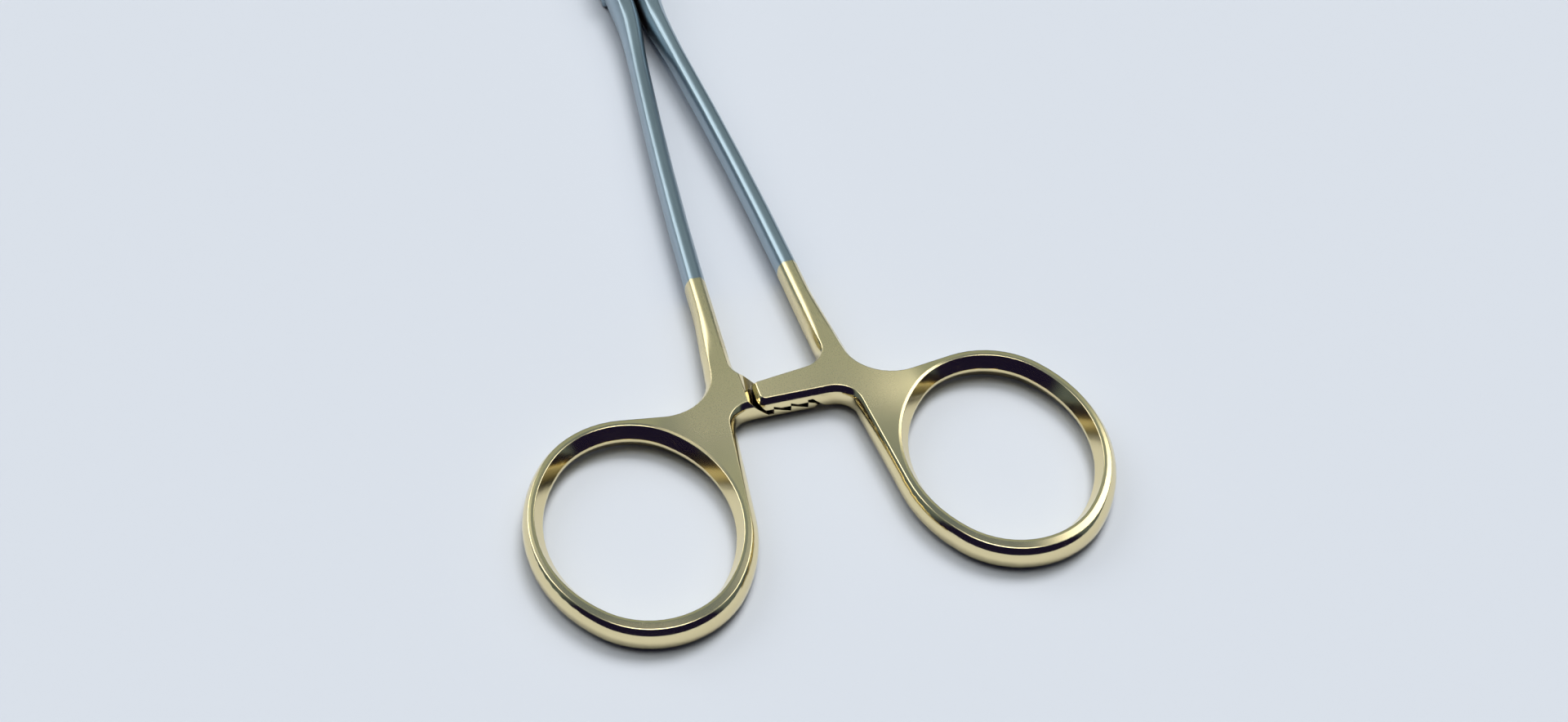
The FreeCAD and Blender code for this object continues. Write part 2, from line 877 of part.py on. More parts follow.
os.makedirs("parts", exist_ok=True)
for label, node in NODES.items():
    node.Label = label
    shape = node.Shape
    if shape.isNull() or not shape.isValid():
        raise RuntimeError(f"{label} has no valid shape")
    print(label, len(shape.Solids), round(shape.Volume, 2), shape.BoundBox)
for label, node in NODES.items():
    node.Shape.exportStep(f"parts/{label}.step")
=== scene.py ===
# %% [markdown]
# A needle holder holds a curved surgical needle while a wound is stitched. This one lies closed on a
# pale table. Its rings, ratchet and the first part of its shanks are plated in champagne gold, and the
# rest is satin stainless steel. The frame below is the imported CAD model, in metres, and every piece of
# this lesson sits on it.

# %% Load the frame
import json
import math

import bmesh
import bpy
from mathutils import Matrix, Vector


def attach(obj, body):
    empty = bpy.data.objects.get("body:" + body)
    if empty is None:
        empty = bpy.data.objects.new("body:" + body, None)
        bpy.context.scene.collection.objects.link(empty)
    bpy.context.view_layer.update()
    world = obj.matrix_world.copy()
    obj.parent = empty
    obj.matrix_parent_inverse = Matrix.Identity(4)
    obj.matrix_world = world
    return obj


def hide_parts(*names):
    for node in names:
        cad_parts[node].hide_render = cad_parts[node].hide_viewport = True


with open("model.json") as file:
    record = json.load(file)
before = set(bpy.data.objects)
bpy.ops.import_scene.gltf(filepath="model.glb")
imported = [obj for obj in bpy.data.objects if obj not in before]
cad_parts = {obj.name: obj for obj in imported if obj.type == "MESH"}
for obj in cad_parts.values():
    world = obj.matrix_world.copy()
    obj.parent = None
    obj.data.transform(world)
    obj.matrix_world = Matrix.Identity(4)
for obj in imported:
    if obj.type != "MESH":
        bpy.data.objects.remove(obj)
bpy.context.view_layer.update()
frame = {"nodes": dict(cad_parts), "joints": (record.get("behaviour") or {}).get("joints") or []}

# %% [markdown]
# Sizes are easier to read in millimetres, so one small helper turns them into Blender's metres. The
# plating stops at one level on both shanks, and the pin stands where the frame's joint says.

# %% Sizes that several steps share


def mm(value):
    """Millimetres as metres."""
    return value / 1000


PLATING_END = mm(-28.4)
PIN_PLACE = Vector(frame["joints"][0]["pos_m"])
print("pin at", [round(1000 * v, 2) for v in PIN_PLACE], "mm")

# %% [markdown]
# The CAD nodes come in as loose triangles, which would shade as facets. Polished metal shows every
# facet, so each node gets a merged copy: its doubles are joined and its faces are shaded smooth. Two
# kinds of edge stay crisp: those sharper than the rounded walls, and those round a level face, which
# would otherwise look pillowed.

# %% A smooth copy of a CAD node
CRISP_ANGLE = math.radians(18.5)
LEVEL = 0.9999
SAME_POINT = mm(0.0005)


def smooth_copy(node, name):
    """The node's own shape as one joined mesh, shaded smooth between its crisp edges."""
    source = frame["nodes"][node]
    shape = bmesh.new()
    shape.from_mesh(source.data)
    bmesh.ops.remove_doubles(shape, verts=shape.verts, dist=SAME_POINT)
    shape.normal_update()
    for edge in shape.edges:
        sides = {abs(face.normal.z) > LEVEL for face in edge.link_faces}
        edge.smooth = len(sides) == 1 and edge.calc_face_angle(0) < CRISP_ANGLE
    mesh = bpy.data.meshes.new(name)
    shape.to_mesh(mesh)
    shape.free()
    mesh.attributes.remove(mesh.attributes["custom_normal"])
    mesh.polygons.foreach_set("use_smooth", [True] * len(mesh.polygons))
    piece = bpy.data.objects.new(name, mesh)
    bpy.context.scene.collection.objects.link(piece)
    print(name, len(mesh.polygons), "faces")
    return piece

# %% [markdown]
# The triangles of a wall are long and uneven, and that shows as a saw-toothed line where a reflection
# changes. The wall's section is the same all round a handle, so the height alone says how far its
# normal tilts. On the bent shanks the bend also says which way the wall faces. Only corners that
# already point nearly that way are evened out.

# %% Even walls
MIDDLE_HEIGHT = mm(3.5)
WALL_HALF = mm(2.1)
WALL_SLOPE = 0.96
WALL_CURVE = 1.4
WALL_STEEPEST = 0.75
NEARLY = math.cos(math.radians(18))
SWELLING_FROM = mm(22)

SHANK_START = mm(-46)
SHANK_CENTRE = mm(7.75)
SHANK_LEAN = 0.030
SHANK_BEND = 0.489
SHANK_SLOPE = 1.3
SHANK_CURVE = 3.0
SHANK_NEARLY = math.cos(math.radians(34))


def in_finger_hole(spot, outwards):
    """Whether that wall looks into the hole of its ring instead of away from it."""
    from_middle = Vector((abs(spot.x) - mm(25.5), spot.y - mm(-71), 0))
    looks = math.copysign(outwards.x, outwards.x * spot.x) * from_middle.x + outwards.y * from_middle.y
    share = (from_middle.x / mm(14)) ** 2 + (from_middle.y / mm(17.4)) ** 2
    return share < 1.15 and looks < 0


def shank_wall(spot):
    """Which way a wall of the bent shank faces at that spot, or None below the shanks."""
    gone = spot.y - SHANK_START
    if gone < mm(4) or spot.y > SWELLING_FROM:
        return None
    side = math.copysign(1, spot.x)
    line = SHANK_CENTRE - SHANK_LEAN * gone - SHANK_BEND * gone**2
    slope = -SHANK_LEAN - 2 * SHANK_BEND * gone
    outer = 1 if abs(spot.x) > line else -1
    return outer * Vector((side, -slope, 0)).normalized()


def even_walls(mesh):
    """Gives the handle's and shank's walls the tilt that their height asks for."""
    normals = [corner.vector.copy() for corner in mesh.corner_normals]
    evened = 0
    for face in mesh.polygons:
        if abs(face.normal.z) > WALL_STEEPEST:
            continue
        for corner in face.loop_indices:
            spot = mesh.vertices[mesh.loops[corner].vertex_index].co
            outwards = Vector((normals[corner].x, normals[corner].y, 0))
            if spot.y > SWELLING_FROM or outwards.length == 0 or in_finger_hole(spot, outwards):
                continue
            height = spot.z - MIDDLE_HEIGHT
            share = min(abs(height) / WALL_HALF, 1)
            on_shank = shank_wall(spot)
            if on_shank:
                rise, nearly, outwards = SHANK_SLOPE * share**SHANK_CURVE, SHANK_NEARLY, on_shank
            else:
                rise, nearly = WALL_SLOPE * share**WALL_CURVE, NEARLY
            even = outwards.normalized() + Vector((0, 0, math.copysign(rise, height)))
            if even.normalized().dot(normals[corner]) > nearly:
                normals[corner] = even.normalized()
                evened += 1
    mesh.normals_split_custom_set(normals)
    print("evened", evened, "of", len(normals), "corners")


# %% [markdown]
# All five nodes get their copies here, and the two halves get even walls.

# %% The five smooth pieces
right_half = smooth_copy("female_half", "right_ring_half")
left_half = smooth_copy("male_half", "left_ring_half")
even_walls(right_half.data)
even_walls(left_half.data)
pin = smooth_copy("box_lock_pin", "lock_pin")
left_pad = smooth_copy("female_jaw_insert", "left_jaw_pad")
right_pad = smooth_copy("male_jaw_insert", "right_jaw_pad")

# %% [markdown]
# Materials are built from nodes, so two helpers keep the steps short: one adds a node with its values,
# and one joins two sockets.

# %% Node helpers


def add_node(tree, kind, values=(), **settings):
    """A node of that kind. values are (input, value) pairs and settings are its own properties."""
    node = tree.nodes.new(kind)
    for key, value in settings.items():
        setattr(node, key, value)
    for key, value in dict(values).items():
        node.inputs[key].default_value = value
    return node


def join(tree, source, target):
    """Links an output socket to an input socket."""
    tree.links.new(source, target)


def maths(tree, operation, first, second=None, third=None):
    """A Math node on values or sockets. Returns its output."""
    node = add_node(tree, "ShaderNodeMath", operation=operation)
    for slot, value in enumerate((first, second, third)):
        if value is None:
            continue
        if isinstance(value, (int, float)):
            node.inputs[slot].default_value = value
        else:
            join(tree, value, node.inputs[slot])
    return node.outputs[0]


def soft_step(tree, value, low, high):
    """0 below low, 1 above high, and smooth in between."""
    node = add_node(tree, "ShaderNodeMapRange", interpolation_type="SMOOTHSTEP")
    node.inputs["From Min"].default_value = low
    node.inputs["From Max"].default_value = high
    join(tree, value, node.inputs["Value"])
    return node.outputs["Result"]


def product(tree, first, *others):
    """All the factors multiplied with each other."""
    for factor in others:
        first = maths(tree, "MULTIPLY", first, factor)
    return first


def vector_maths(tree, operation, first, second=None):
    """A Vector Math node on two sockets. Returns the output that it fills."""
    node = add_node(tree, "ShaderNodeVectorMath", operation=operation)
    join(tree, first, node.inputs[0])
    if second is not None:
        join(tree, second, node.inputs["Scale" if operation == "SCALE" else 1])
    return node.outputs["Value" if operation in ("DOT_PRODUCT", "LENGTH") else "Vector"]


def level_vector(tree, x, y):
    """A vector without height from two sockets."""
    node = add_node(tree, "ShaderNodeCombineXYZ")
    join(tree, x, node.inputs["X"])
    join(tree, y, node.inputs["Y"])
    return node.outputs[0]


def flat_faces(tree, place):
    """1 on level faces and 0 on walls. place is a Texture Coordinate node."""
    facing = add_node(tree, "ShaderNodeSeparateXYZ")
    join(tree, place.outputs["Normal"], facing.inputs[0])
    return soft_step(tree, maths(tree, "ABSOLUTE", facing.outputs["Z"]), 0.90, 0.985)


def blend_colours(tree, share, first, second, mode="MIX"):
    """Two colours or colour sockets mixed by a share. Returns the colour socket."""
    node = add_node(tree, "ShaderNodeMix", data_type="RGBA", blend_type=mode)
    for slot, value in ((0, share), (6, first), (7, second)):
        if isinstance(value, bpy.types.NodeSocket):
            join(tree, value, node.inputs[slot])
        elif isinstance(value, (int, float)):
            node.inputs[slot].default_value = value
        else:
            node.inputs[slot].default_value = (*value, 1)
    return node.outputs[2]


def new_group(name, inputs, outputs):
    """An empty shader node group. inputs and outputs are (name, type, default) and (name, type)."""
    tree = bpy.data.node_groups.new(name, "ShaderNodeTree")
    for title, kind, value in inputs:
        made = tree.interface.new_socket(title, in_out="INPUT", socket_type=kind)
        if value is not None:
            made.default_value = value
    for title, kind in outputs:
        tree.interface.new_socket(title, in_out="OUTPUT", socket_type=kind)
    start = tree.nodes.new("NodeGroupInput")
    end = tree.nodes.new("NodeGroupOutput")
    return tree, start, end


def place_group(tree, group, values=()):
    """The group as a node in a material, with its own values."""
    node = tree.nodes.new("ShaderNodeGroup")
    node.node_tree = group
    for key, value in dict(values).items():
        node.inputs[key].default_value = value
    return node


FLOAT = "NodeSocketFloat"
VECTOR = "NodeSocketVector"

# %% [markdown]
# Every edge of a forged and polished instrument is slightly rounded. A bevel on the mesh would have to
# cut thousands of triangles, so the Bevel node rounds the normals instead. Where the rounded normal
# leaves the true one there is an edge, and that difference, broken up by noise, is also the mask for
# the bright line that handling has burnished there.

# %% Worn edges
worn_edges, start, end = new_group(
    "worn_edges",
    [("Round", FLOAT, mm(0.3)), ("Wear", FLOAT, mm(0.1)), ("Breakup", FLOAT, 500.0)],
    [("Mask", FLOAT), ("Normal", VECTOR)],
)
rounded = add_node(worn_edges, "ShaderNodeBevel", samples=8)
join(worn_edges, start.outputs["Round"], rounded.inputs["Radius"])
close_by = add_node(worn_edges, "ShaderNodeBevel", samples=4)
join(worn_edges, start.outputs["Wear"], close_by.inputs["Radius"])
true_normal = add_node(worn_edges, "ShaderNodeNewGeometry")
agreement = add_node(worn_edges, "ShaderNodeVectorMath", operation="DOT_PRODUCT")
join(worn_edges, close_by.outputs[0], agreement.inputs[0])
join(worn_edges, true_normal.outputs["Normal"], agreement.inputs[1])
turned_away = maths(worn_edges, "SUBTRACT", 1.0, agreement.outputs["Value"])
edge = soft_step(worn_edges, turned_away, 0.004, 0.06)
place = add_node(worn_edges, "ShaderNodeTexCoord")
patches = add_node(worn_edges, "ShaderNodeTexNoise", {"Detail": 3.0})
join(worn_edges, place.outputs["Object"], patches.inputs["Vector"])
join(worn_edges, start.outputs["Breakup"], patches.inputs["Scale"])
uneven = soft_step(worn_edges, patches.outputs[0], 0.1, 0.5)
join(worn_edges, maths(worn_edges, "MULTIPLY", edge, uneven), end.inputs["Mask"])
join(worn_edges, rounded.outputs[0], end.inputs["Normal"])
print("group", worn_edges.name, len(worn_edges.nodes), "nodes")

# %% [markdown]
# The satin finish comes from a fine belt and glass beads. It has grains of about a tenth of a
# millimetre, and along the shanks they are drawn out into faint lines. One noise texture does both: the
# Stretch value squeezes its Y axis, so that grains become lines.

# %% Satin grain
satin_grain, start, end = new_group(
    "satin_grain",
    [("Grains per metre", FLOAT, 9000.0), ("Stretch", FLOAT, 1.0), ("Lean", FLOAT, 0.0)],
    [("Height", FLOAT), ("Cloud", FLOAT)],
)
place = add_node(satin_grain, "ShaderNodeTexCoord")
turn = add_node(satin_grain, "ShaderNodeVectorRotate", rotation_type="Z_AXIS")
join(satin_grain, place.outputs["Object"], turn.inputs["Vector"])
join(satin_grain, start.outputs["Lean"], turn.inputs["Angle"])
draw_out = add_node(satin_grain, "ShaderNodeCombineXYZ", {"X": 1.0, "Z": 1.0})
join(satin_grain, start.outputs["Stretch"], draw_out.inputs["Y"])
stretched = add_node(satin_grain, "ShaderNodeVectorMath", operation="MULTIPLY")
join(satin_grain, turn.outputs[0], stretched.inputs[0])
join(satin_grain, draw_out.outputs[0], stretched.inputs[1])
grains = add_node(satin_grain, "ShaderNodeTexNoise", {"Detail": 4.0, "Roughness": 0.65})
join(satin_grain, stretched.outputs[0], grains.inputs["Vector"])
join(satin_grain, start.outputs["Grains per metre"], grains.inputs["Scale"])
clouds = add_node(satin_grain, "ShaderNodeTexNoise", {"Scale": 220.0, "Detail": 5.0})
join(satin_grain, place.outputs["Object"], clouds.inputs["Vector"])
join(satin_grain, grains.outputs[0], end.inputs["Height"])
join(satin_grain, clouds.outputs[0], end.inputs["Cloud"])
print("group", satin_grain.name, len(satin_grain.nodes), "nodes")

# %% [markdown]
# Instruments knock against each other in the tray. That leaves hairline scratches and a few small
# nicks. Voronoi edges, bent by noise and kept only where a second noise allows, give short lines that
# don't repeat.

# %% Handling marks
handling_marks, start, end = new_group(
    "handling_marks",
    [("Lines per metre", FLOAT, 330.0), ("Width", FLOAT, 0.012), ("Amount", FLOAT, 0.25)],
    [("Mask", FLOAT)],
)
place = add_node(handling_marks, "ShaderNodeTexCoord")
bend = add_node(handling_marks, "ShaderNodeTexNoise", {"Scale": 300.0, "Detail": 1.0})
join(handling_marks, place.outputs["Object"], bend.inputs["Vector"])
shift = add_node(handling_marks, "ShaderNodeVectorMath", operation="SCALE")
shift.inputs["Scale"].default_value = mm(2.0)
join(handling_marks, bend.outputs["Color"], shift.inputs[0])
bent = add_node(handling_marks, "ShaderNodeVectorMath", operation="ADD")
join(handling_marks, place.outputs["Object"], bent.inputs[0])
join(handling_marks, shift.outputs[0], bent.inputs[1])
cells = add_node(handling_marks, "ShaderNodeTexVoronoi", feature="DISTANCE_TO_EDGE")
join(handling_marks, bent.outputs[0], cells.inputs["Vector"])
join(handling_marks, start.outputs["Lines per metre"], cells.inputs["Scale"])
line = maths(handling_marks, "LESS_THAN", cells.outputs["Distance"], start.outputs["Width"])
where = add_node(handling_marks, "ShaderNodeTexNoise", {"Scale": 520.0, "Detail": 2.0})
join(handling_marks, place.outputs["Object"], where.inputs["Vector"])
kept = soft_step(handling_marks, where.outputs[0], 0.60, 0.66)
shown = maths(handling_marks, "MULTIPLY", line, kept)
amount = maths(handling_marks, "MULTIPLY", shown, start.outputs["Amount"])
join(handling_marks, amount, end.inputs["Mask"])
print("group", handling_marks.name, len(handling_marks.nodes), "nodes")

# %% [markdown]
# A polishing wheel never leaves a flat quite flat. The broad faces between ring, shank and ratchet arm
# are slightly crowned, the tops of the rings fall away outwards, and the tops of the shanks are
# rounded. One group tilts the normal for all three. It starts with its inputs and the point's place.

# %% Crowned faces: the place
RING_PLACE = (mm(25.5), mm(-71))
crowned_face, start, end = new_group(
    "crowned_face",
    [("Middle", FLOAT, mm(9.5)), ("Outward lean", FLOAT, 0.2), ("Normal", VECTOR, None)],
    [("Normal", VECTOR)],
)
place = add_node(crowned_face, "ShaderNodeTexCoord")
spot = add_node(crowned_face, "ShaderNodeSeparateXYZ")
join(crowned_face, place.outputs["Object"], spot.inputs[0])
side = maths(crowned_face, "SIGN", start.outputs["Middle"])
mirrored_x = maths(crowned_face, "MULTIPLY", spot.outputs["X"], side)
flat = flat_faces(crowned_face, place)
past_ring = soft_step(crowned_face, spot.outputs["Y"], mm(-72), mm(-56))
near_web = soft_step(crowned_face, maths(crowned_face, "ABSOLUTE", spot.outputs["X"]), mm(24), mm(17))
on_web = product(crowned_face, past_ring, near_web)


def lean_over(distance, reach, lean):
    """The tilt, as a share of the normal: it nears the lean at the reach, and grows little past it."""
    share = maths(crowned_face, "TANH", maths(crowned_face, "DIVIDE", distance, reach))
    return maths(crowned_face, "MULTIPLY", share, lean)


print("group", crowned_face.name, "for flats round", [1000 * v for v in RING_PLACE])

# %% [markdown]
# The web leans by its distance from its own middle: outwards towards the ring, and down towards the
# finger hole.

# %% Crowned faces: the web
WEB_LEVEL = mm(-51)
outward = maths(crowned_face, "SUBTRACT", spot.outputs["X"], start.outputs["Middle"])
outward = maths(crowned_face, "MULTIPLY", outward, side)
across = product(crowned_face, lean_over(outward, mm(7.0), start.outputs["Outward lean"]), side)
along_ring = maths(crowned_face, "SUBTRACT", WEB_LEVEL, spot.outputs["Y"])
down = product(crowned_face, lean_over(along_ring, mm(8.0), 0.07), -1.0)
web_tilt = level_vector(crowned_face, across, down)
web_tilt = vector_maths(crowned_face, "SCALE", web_tilt, product(crowned_face, on_web, flat))

# %% [markdown]
# The top of a ring falls away from the hole. RING_REACH is half of the ring's outer size, so a distance
# of 1 is the outer edge. The group works on the right ring, and the side turns the tilt for the left.

# %% Crowned faces: the rings
RING_REACH = (mm(15.4), mm(19.0))
RING_CROWN = 0.12
ring_x = maths(crowned_face, "SUBTRACT", mirrored_x, RING_PLACE[0])
ring_y = maths(crowned_face, "SUBTRACT", spot.outputs["Y"], RING_PLACE[1])
share_x = maths(crowned_face, "DIVIDE", ring_x, RING_REACH[0])
share_y = maths(crowned_face, "DIVIDE", ring_y, RING_REACH[1])
how_far = vector_maths(crowned_face, "LENGTH", level_vector(crowned_face, share_x, share_y))
across_band = soft_step(crowned_face, how_far, 0.80, 0.90)
off_web = maths(crowned_face, "SUBTRACT", 1.0, on_web)
ring_tilt = level_vector(crowned_face, product(crowned_face, share_x, side), share_y)
ring_share = product(crowned_face, off_web, flat, across_band, RING_CROWN)
ring_tilt = vector_maths(crowned_face, "SCALE", ring_tilt, ring_share)

# %% [markdown]
# The shank's top is rounded about its middle line, which bends inwards on its way to the box. It is
# rounder on its left, where the wheel came from.

# %% Crowned faces: the shanks
SHANK_HALF_WIDTH = mm(1.6)
SHANK_CROWNS = (0.75, 0.40)
gone = maths(crowned_face, "SUBTRACT", spot.outputs["Y"], SHANK_START)
bend = maths(crowned_face, "MULTIPLY_ADD", gone, -SHANK_BEND, -SHANK_LEAN)
line = maths(crowned_face, "MULTIPLY_ADD", gone, bend, SHANK_CENTRE)
off_line = product(crowned_face, maths(crowned_face, "SUBTRACT", mirrored_x, line), side)
left_lean, right_lean = (lean_over(off_line, SHANK_HALF_WIDTH, lean) for lean in SHANK_CROWNS)
round_off = maths(crowned_face, "MINIMUM", left_lean, right_lean)
after_web = soft_step(crowned_face, spot.outputs["Y"], mm(-46), mm(-37))
before_box = soft_step(crowned_face, spot.outputs["Y"], mm(40), mm(32))
rounding = add_node(crowned_face, "ShaderNodeCombineXYZ")
join(crowned_face, product(crowned_face, round_off, after_web, before_box, flat), rounding.inputs["X"])

# %% [markdown]
# The three tilts are zero outside their own faces, so they simply add up.

# %% Crowned faces: the normal
tilted = vector_maths(crowned_face, "ADD", web_tilt, ring_tilt)
tilted = vector_maths(crowned_face, "ADD", tilted, rounding.outputs[0])
tilted = vector_maths(crowned_face, "ADD", start.outputs["Normal"], tilted)
join(crowned_face, vector_maths(crowned_face, "NORMALIZE", tilted), end.inputs["Normal"])
print("group", crowned_face.name, len(crowned_face.nodes), "nodes")

# %% [markdown]
# Gold plating stops at a masked line a third of the way up each shank. The line is sharp but not
# perfectly straight, so a little noise shifts it by about a tenth of a millimetre.

# %% Where the gold plating is
gold_plating, start, end = new_group(
    "gold_plating", [("End level", FLOAT, PLATING_END)], [("Mask", FLOAT)]
)
place = add_node(gold_plating, "ShaderNodeTexCoord")
level = add_node(gold_plating, "ShaderNodeSeparateXYZ")
join(gold_plating, place.outputs["Object"], level.inputs[0])
ragged = add_node(gold_plating, "ShaderNodeTexNoise", {"Scale": 700.0, "Detail": 2.0})
join(gold_plating, place.outputs["Object"], ragged.inputs["Vector"])
wander = maths(gold_plating, "MULTIPLY", maths(gold_plating, "SUBTRACT", ragged.outputs[0], 0.5), mm(0.5))
past = maths(gold_plating, "SUBTRACT", level.outputs["Y"], start.outputs["End level"])
past = maths(gold_plating, "ADD", past, wander)
bare = soft_step(gold_plating, past, mm(-0.04), mm(0.04))
join(gold_plating, maths(gold_plating, "SUBTRACT", 1.0, bare), end.inputs["Mask"])
print("group", gold_plating.name, len(gold_plating.nodes), "nodes")

# %% [markdown]
# The halves are one material from ring to jaw, because they are one forging. Flat faces are satin and
# the walls of the rings and web are mirror polished, so the roughness follows the direction that the
# face looks in. The shanks are satin all round. Narrow gaps, such as those between the ratchet's teeth,
# get painted shade: the Ambient Occlusion node finds them and darkens their colour.

# %% Satin and polished metal of the halves
CHAMPAGNE_GOLD = (0.87, 0.74, 0.43)
PALE_GOLD = (0.98, 0.88, 0.64)
STAINLESS = (0.36, 0.45, 0.51)
BRIGHT_STEEL = (0.66, 0.72, 0.77)
PAINTED_RECESS_SHADE = (0.10, 0.08, 0.08)


def forged_metal(name, lean, web_middle, crown):
    """Gold plated and bare steel in one material. lean turns the shank's lines along the shank."""
    material = bpy.data.materials.new(name)
    material.use_nodes = True
    tree = material.node_tree
    metal = tree.nodes["Principled BSDF"]
    metal.inputs["Metallic"].default_value = 1.0
    place = add_node(tree, "ShaderNodeTexCoord")
    level = add_node(tree, "ShaderNodeSeparateXYZ")
    join(tree, place.outputs["Object"], level.inputs[0])

    plating = place_group(tree, gold_plating)
    edges = place_group(tree, worn_edges)
    marks = place_group(tree, handling_marks)
    fine = place_group(tree, satin_grain)
    lines = place_group(tree, satin_grain, {"Stretch": 0.03, "Lean": lean, "Grains per metre": 12000.0})
    gold = plating.outputs["Mask"]

    flat = flat_faces(tree, place)
    on_shank = soft_step(tree, level.outputs["Y"], mm(-46), mm(-42))
    past_ring = soft_step(tree, level.outputs["Y"], mm(-76), mm(-56))
    beside_ring = soft_step(tree, maths(tree, "ABSOLUTE", level.outputs["X"]), mm(13), mm(24))
    on_web = maths(tree, "MULTIPLY", past_ring, maths(tree, "SUBTRACT", 1.0, beside_ring))
    flat_finish = maths(tree, "MULTIPLY", flat, maths(tree, "MULTIPLY_ADD", on_web, 0.8, 0.2))
    satin = maths(tree, "MAXIMUM", flat_finish, on_shank)
    roundness = add_node(tree, "ShaderNodeMix", {2: mm(0.18), 3: mm(0.6)}, data_type="FLOAT")
    join(tree, on_shank, roundness.inputs[0])
    join(tree, roundness.outputs[0], edges.inputs["Round"])
    dents = maths(tree, "MULTIPLY", marks.outputs["Mask"], maths(tree, "SUBTRACT", 1.0, satin))

    bare_colour = blend_colours(tree, fine.outputs["Cloud"], (0.32, 0.41, 0.46), STAINLESS)
    gold_colour = blend_colours(tree, fine.outputs["Cloud"], (0.81, 0.69, 0.39), CHAMPAGNE_GOLD)
    colour = blend_colours(tree, gold, bare_colour, gold_colour)
    burnished = blend_colours(tree, gold, BRIGHT_STEEL, PALE_GOLD)
    rubbed = maths(tree, "MULTIPLY", edges.outputs["Mask"], maths(tree, "SUBTRACT", 1.0, on_shank))
    worn = maths(tree, "MAXIMUM", rubbed, dents)
    colour = blend_colours(tree, maths(tree, "MULTIPLY", worn, 0.3), colour, burnished)

    # Painted shade: where the Ambient Occlusion node finds a narrow gap, the colour is darkened towards
    # near black.
    recess_shade_finder = add_node(tree, "ShaderNodeAmbientOcclusion", {"Distance": mm(1.5)}, samples=6)
    outside_painted_shade = soft_step(tree, recess_shade_finder.outputs["AO"], 0.30, 0.60)
    colour = blend_colours(tree, outside_painted_shade, PAINTED_RECESS_SHADE, colour)
    join(tree, colour, metal.inputs["Base Color"])

    grain = add_node(tree, "ShaderNodeMix", data_type="FLOAT")
    join(tree, on_shank, grain.inputs[0])
    join(tree, fine.outputs["Height"], grain.inputs[2])
    join(tree, lines.outputs["Height"], grain.inputs[3])
    satin_rough = maths(tree, "MULTIPLY_ADD", grain.outputs[0], 0.06, 0.25)
    bare_shank = maths(tree, "MULTIPLY", on_shank, maths(tree, "SUBTRACT", 1.0, gold))
    satin_rough = maths(tree, "MULTIPLY_ADD", bare_shank, 0.06, satin_rough)
    polished_rough = maths(tree, "MULTIPLY_ADD", fine.outputs["Cloud"], 0.06, 0.07)
    rough = add_node(tree, "ShaderNodeMix", data_type="FLOAT")
    join(tree, satin, rough.inputs[0])
    join(tree, polished_rough, rough.inputs[2])
    join(tree, satin_rough, rough.inputs[3])
    less = maths(tree, "MULTIPLY", rubbed, -0.08)
    rough = maths(tree, "ADD", rough.outputs[0], less)
    scratch = maths(tree, "MULTIPLY", dents, 0.2)
    join(tree, maths(tree, "ADD", rough, scratch), metal.inputs["Roughness"])

    height = maths(tree, "MULTIPLY", grain.outputs[0], satin)
    height = maths(tree, "SUBTRACT", height, dents)
    crowned = place_group(tree, crowned_face, {"Middle": web_middle, "Outward lean": crown})
    join(tree, edges.outputs["Normal"], crowned.inputs["Normal"])
    bump = add_node(tree, "ShaderNodeBump", {"Strength": 0.25, "Distance": mm(0.01)})
    join(tree, height, bump.inputs["Height"])
    join(tree, crowned.outputs["Normal"], bump.inputs["Normal"])
    join(tree, bump.outputs[0], metal.inputs["Normal"])
    print("material", name, len(tree.nodes), "nodes")
    return material


right_metal = forged_metal("right_half_metal", math.radians(-5.5), mm(9.5), 0.11)
left_metal = forged_metal("left_half_metal", math.radians(5.5), mm(-9.5), 0.05)

# %% [markdown]
# The pin is turned, filed flush and polished. Rings round its axis are what is left of the file and the
# lathe. A Mapping node centres them on the pin.

# %% Polished pin
pin_metal = bpy.data.materials.new("pin_metal")
pin_metal.use_nodes = True
tree = pin_metal.node_tree
metal = tree.nodes["Principled BSDF"]
metal.inputs["Metallic"].default_value = 1.0
place = add_node(tree, "ShaderNodeTexCoord")
centred = add_node(tree, "ShaderNodeMapping")
centred.inputs["Location"].default_value = (-PIN_PLACE.x, -PIN_PLACE.y, 0)
join(tree, place.outputs["Object"], centred.inputs["Vector"])
rings = add_node(
    tree,
    "ShaderNodeTexWave",
    {"Scale": 900.0, "Distortion": 0.6, "Detail": 2.0},
    wave_type="RINGS",
    rings_direction="Z",
)
join(tree, centred.outputs[0], rings.inputs["Vector"])
edges = place_group(tree, worn_edges, {"Round": mm(0.1), "Wear": mm(0.08)})
colour = blend_colours(tree, rings.outputs[1], (0.56, 0.60, 0.63), (0.66, 0.69, 0.71))
colour = blend_colours(tree, edges.outputs["Mask"], colour, BRIGHT_STEEL)
join(tree, colour, metal.inputs["Base Color"])
rough = maths(tree, "MULTIPLY_ADD", rings.outputs[1], 0.08, 0.14)
join(tree, rough, metal.inputs["Roughness"])
bump = add_node(tree, "ShaderNodeBump", {"Strength": 0.2, "Distance": mm(0.01)})
join(tree, rings.outputs[1], bump.inputs["Height"])
join(tree, edges.outputs["Normal"], bump.inputs["Normal"])
join(tree, bump.outputs[0], metal.inputs["Normal"])
print("material", pin_metal.name, len(tree.nodes), "nodes")

# %% [markdown]
# The gripping pads are sintered tungsten carbide: dark grey, matt and very finely grained, with wear
# only on the crests of the serrations.

